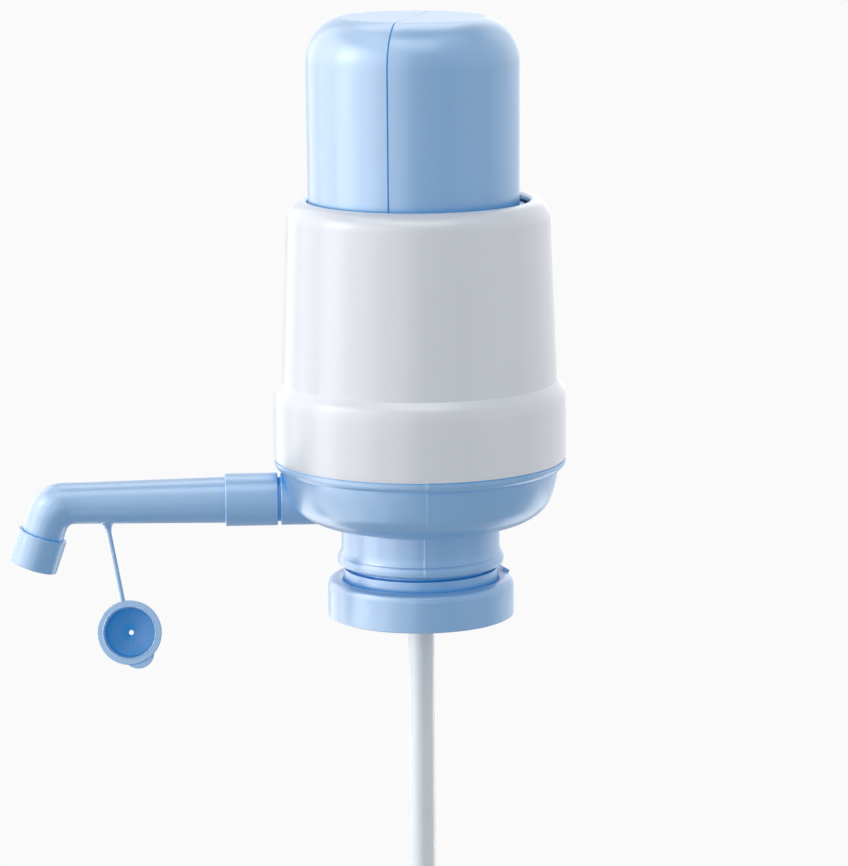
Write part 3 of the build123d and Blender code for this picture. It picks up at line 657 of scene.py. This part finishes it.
button_blue = pale_plastic("press_cap_polypropylene")
cap = bmesh.new()
corners(cap, lengths(
    (36.3, 191.18), (36.1, 141.5, 0.3), (38.6, 141.5), (40.5, 139.6), (40.5, 139.2), (34.1, 139.2),
    (34.1, 191.0),
), closed=False)
shoulder_height = 0.19118
shoulder_line = 0.0210
rim = cap.verts.new((0.0363, 0, shoulder_height))
bmesh.ops.spin(
    cap, geom=[rim], cent=(shoulder_line, 0, shoulder_height), axis=(0, 1, 0),
    angle=-math.radians(75.62), steps=24, use_merge=False,
)
hollow_height = 0.1910
hollow = cap.verts.new((0.0341, 0, hollow_height))
bmesh.ops.spin(
    cap, geom=[hollow], cent=(0.0211, 0, hollow_height), axis=(0, 1, 0),
    angle=-math.radians(90), steps=16, use_merge=False,
)
bmesh.ops.remove_doubles(cap, verts=cap.verts[:], dist=1e-6)
parting_bearing = 73.5
spun(cap, steps=160, start=parting_bearing)
bmesh.ops.holes_fill(cap, edges=[e for e in cap.edges if e.is_boundary], sides=0)
square_to_parting = math.radians(parting_bearing + 90)
parting_side = Vector((math.cos(square_to_parting), math.sin(square_to_parting), 0))
top_height = 0.2055


def on_parting(vert):
    """Whether a point lies in the plane where the mould of the cap parts."""
    return abs(vert.co.dot(parting_side)) < 1e-6


def on_outside(vert):
    """Whether a point is on the cap's outer face: wall above the flange, shoulder or top."""
    r = vert.co.xy.length
    if vert.co.z < hollow_height:
        return r > 0.0360 and vert.co.z > 0.1417
    from_line = math.hypot(r - shoulder_line, vert.co.z - shoulder_height)
    return from_line > 0.0148 or vert.co.z > top_height


top = [v for v in cap.verts if on_parting(v) and v.co.z > top_height]
bmesh.ops.connect_verts(cap, verts=top)
groove_half_width = 0.00028
groove_depth = 0.0005
parting = [e for e in cap.edges if all(on_parting(v) and on_outside(v) for v in e.verts)]
made = bmesh.ops.bevel(
    cap, geom=parting, offset=groove_half_width, offset_type="OFFSET", segments=2, profile=0.5,
    affect="EDGES", material=-1,
)
cap.normal_update()
valley = {v for f in made["faces"] for v in f.verts if on_parting(v)}
shift = {v: -v.normal * groove_depth for v in valley}
for vert, move in shift.items():
    vert.co += move
bmesh.ops.recalc_face_normals(cap, faces=cap.faces[:])
rib_count = 6
rib_place = Matrix.Translation((0.0192, 0, 0.2031))
rib_size = Matrix.Diagonal((0.0080, 0.0016, 0.0024, 1))
ribs = bmesh.new()
for number in range(rib_count):
    turn = Matrix.Rotation(math.radians(360 / rib_count * number), 4, "Z")
    bmesh.ops.create_cube(ribs, size=1, matrix=turn @ rib_place @ rib_size)
join_in(cap, ribs)
off_centre = (-0.0016, 0, 0)
bmesh.ops.translate(cap, verts=cap.verts[:], vec=off_centre)
cap = finished("press_cap_button", cap, button_blue, sharp=12)
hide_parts("press_cap")
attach(cap, "press_cap")

# ---------------------------------------------------------------- studio
# Pale floor in an even white room, with a soft key lamp at the left. Round the pump stand soft
# boxes that only its gloss shows: a bright wall at the left, a dim one at the right, low and high
# ones. The camera stands a little to the spout's side and looks down on the pump.

floor_height = -0.4401
floor_glow = 0.93
sweep = bmesh.new()
bmesh.ops.create_grid(sweep, x_segments=1, y_segments=1, size=12)
bmesh.ops.translate(sweep, verts=sweep.verts[:], vec=(0, 0, floor_height))
sweep_mesh = bpy.data.meshes.new("studio_sweep")
sweep.to_mesh(sweep_mesh)
sweep.free()
sweep_paper = bpy.data.materials.new("sweep_paper")
sweep_paper.use_nodes = True
nodes = sweep_paper.node_tree.nodes
links = sweep_paper.node_tree.links
paper = nodes["Principled BSDF"]
paper.inputs["Base Color"].default_value = (0.86, 0.86, 0.86, 1)
paper.inputs["Roughness"].default_value = 0.9
paper.inputs["Specular IOR Level"].default_value = 0.0
glow = nodes.new("ShaderNodeEmission")
glow.inputs["Color"].default_value = (0.985, 0.985, 0.985, 1)
rays = nodes.new("ShaderNodeLightPath")
seen = nodes.new("ShaderNodeMath")
seen.operation = "MULTIPLY"
seen.inputs[1].default_value = floor_glow
links.new(rays.outputs["Is Camera Ray"], seen.inputs[0])
blend = nodes.new("ShaderNodeMixShader")
links.new(seen.outputs["Value"], blend.inputs["Fac"])
links.new(paper.outputs["BSDF"], blend.inputs[1])
links.new(glow.outputs["Emission"], blend.inputs[2])
links.new(blend.outputs["Shader"], nodes["Material Output"].inputs["Surface"])
sweep_paper.cycles.emission_sampling = "NONE"
sweep_mesh.materials.append(sweep_paper)
sweep_floor = bpy.data.objects.new("studio_sweep", sweep_mesh)
bpy.context.scene.collection.objects.link(sweep_floor)

world = bpy.data.worlds.new("studio_room")
bpy.context.scene.world = world
world.use_nodes = True
nodes = world.node_tree.nodes
links = world.node_tree.links
room = nodes["Background"]
rays = nodes.new("ShaderNodeLightPath")
gloss = nodes.new("ShaderNodeMath")
gloss.operation = "MAXIMUM"
links.new(rays.outputs["Is Camera Ray"], gloss.inputs[0])
links.new(rays.outputs["Is Glossy Ray"], gloss.inputs[1])
shown = nodes.new("ShaderNodeMath")
shown.operation = "MAXIMUM"
links.new(gloss.outputs["Value"], shown.inputs[0])
links.new(rays.outputs["Is Transmission Ray"], shown.inputs[1])
tone = nodes.new("ShaderNodeMix")
tone.data_type = "RGBA"
tone.inputs["A"].default_value = (0.655, 0.66, 0.67, 1)
tone.inputs["B"].default_value = (0.985, 0.985, 0.985, 1)
links.new(shown.outputs["Value"], tone.inputs["Factor"])
links.new(tone.outputs["Result"], room.inputs["Color"])
room.inputs["Strength"].default_value = 1.0


def soft_lamp(name, bearing, tilt_up, reach, width, tall, radiance, gloss_only=False):
    """Soft box facing the pump, at a bearing left of the front and an elevation in degrees."""
    lamp = bpy.data.lights.new(name, "AREA")
    lamp.shape = "RECTANGLE"
    lamp.size = width
    lamp.size_y = tall
    lamp.energy = radiance * math.pi * width * tall
    turn = math.radians(bearing)
    lift = math.radians(tilt_up)
    aim = Vector((0, 0, 0.08))
    away = Vector((
        -math.sin(turn) * math.cos(lift), -math.cos(turn) * math.cos(lift), math.sin(lift),
    ))
    obj = bpy.data.objects.new(name, lamp)
    obj.location = aim + away * reach
    obj.rotation_euler = (-away).to_track_quat("-Z", "Y").to_euler()
    obj.visible_diffuse = not gloss_only
    obj.visible_camera = False
    bpy.context.scene.collection.objects.link(obj)


soft_lamp("key_left", 75, 26, reach=1.2, width=0.7, tall=0.6, radiance=0.3)
soft_lamp("glint", 79, 25, reach=0.95, width=0.20, tall=0.12, radiance=11, gloss_only=True)
for bearing, radiance in ((24, 2.95), (52, 4.95), (80, 7.8), (110, 4.8), (140, 2.8)):
    soft_lamp(
        "wall_left_%d" % bearing, bearing, 12, reach=1.0, width=0.5, tall=1.3, radiance=radiance,
        gloss_only=True,
    )
for bearing, radiance in ((-10, 0.5), (-60, 0.75), (-110, 0.9), (-150, 0.8), (180, 0.5)):
    soft_lamp(
        "wall_right_%d" % abs(bearing), bearing, 12, reach=1.0, width=0.8, tall=1.3,
        radiance=radiance, gloss_only=True,
    )
for bearing, radiance in ((24, 1.0), (52, 2.3), (80, 2.9), (110, 3.0), (140, 2.5), (-130, 2.1)):
    soft_lamp(
        "low_%d" % (bearing % 360), bearing, -38, reach=0.62, width=0.32, tall=0.34,
        radiance=radiance, gloss_only=True,
    )
for bearing, radiance in ((0, 3.9), (60, 3.5), (120, 2.3), (180, 3.7), (-60, 1.4)):
    soft_lamp(
        "high_%d" % (bearing % 360), bearing, 62, reach=1.0, width=0.6, tall=0.5,
        radiance=radiance, gloss_only=True,
    )

look_at = Vector((0, 0, 0.0629))
rise = math.radians(10.65)
aside = math.radians(3.0)
camera_distance = 1.377
eye = look_at + camera_distance * Vector((
    -math.cos(rise) * math.sin(aside), -math.cos(rise) * math.cos(aside), math.sin(rise),
))
ahead = (look_at - eye).normalized()
right = ahead.cross(Vector((0, 0, 1))).normalized()
high = right.cross(ahead)
roll = math.radians(0.39)
camera_right = right * math.cos(roll) - high * math.sin(roll)
camera_up = right * math.sin(roll) + high * math.cos(roll)
lens = bpy.data.cameras.new("studio_camera")
lens.lens = 166.28
lens.shift_x = 0.00462
lens.clip_start = 0.05
lens.clip_end = 60
camera = bpy.data.objects.new("studio_camera", lens)
camera_turn = Matrix((camera_right, camera_up, -ahead)).transposed()
camera.matrix_world = Matrix.Translation(eye) @ camera_turn.to_4x4()
bpy.context.scene.collection.objects.link(camera)
bpy.context.scene.camera = camera
bpy.context.scene.view_settings.view_transform = "Standard"
